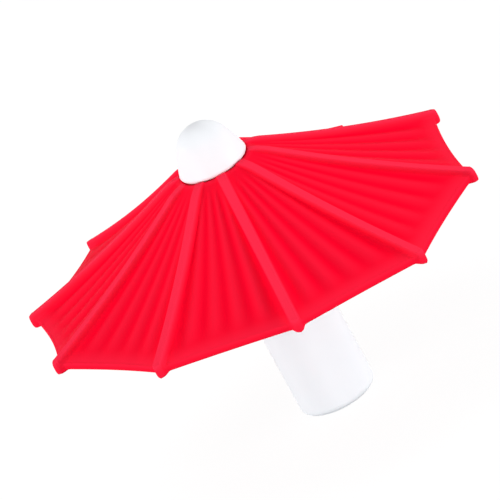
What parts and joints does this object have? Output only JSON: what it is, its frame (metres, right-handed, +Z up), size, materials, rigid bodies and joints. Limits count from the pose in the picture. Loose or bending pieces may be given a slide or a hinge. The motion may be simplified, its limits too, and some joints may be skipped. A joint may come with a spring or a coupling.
{
  "type": "cocktail umbrella bottle stopper",
  "caption": "Drink-umbrella bottle stopper: a soft pleated and ribbed canopy that turns on a capped stem above a round stopper plug.",
  "frame": {"origin": "centre of the plug's flat end, on which the part stands", "axes": "+Z up the stem to the cap; +X along one rib"},
  "size_m": [0.112, 0.1069, 0.0765],
  "materials": {
    "red_silicone": "satin moulded silicone rubber",
    "white_cap_plastic": "satin moulded plastic",
    "natural_stem_plastic": "natural moulded polypropylene",
    "white_silicone": "satin moulded silicone rubber"
  },
  "bodies": {
    "stopper": {"stopper_plug": "white_silicone", "core_stem": "natural_stem_plastic", "finial_cap": "white_cap_plastic"},
    "canopy": {"canopy": "red_silicone"}
  },
  "joints": [
    {"name": "canopy_swivel", "type": "hinge", "parent": "stopper", "child": "canopy", "pos_m": [0, 0, 0.0635], "axis": [0, 0, 1], "continuous": true}
  ]
}
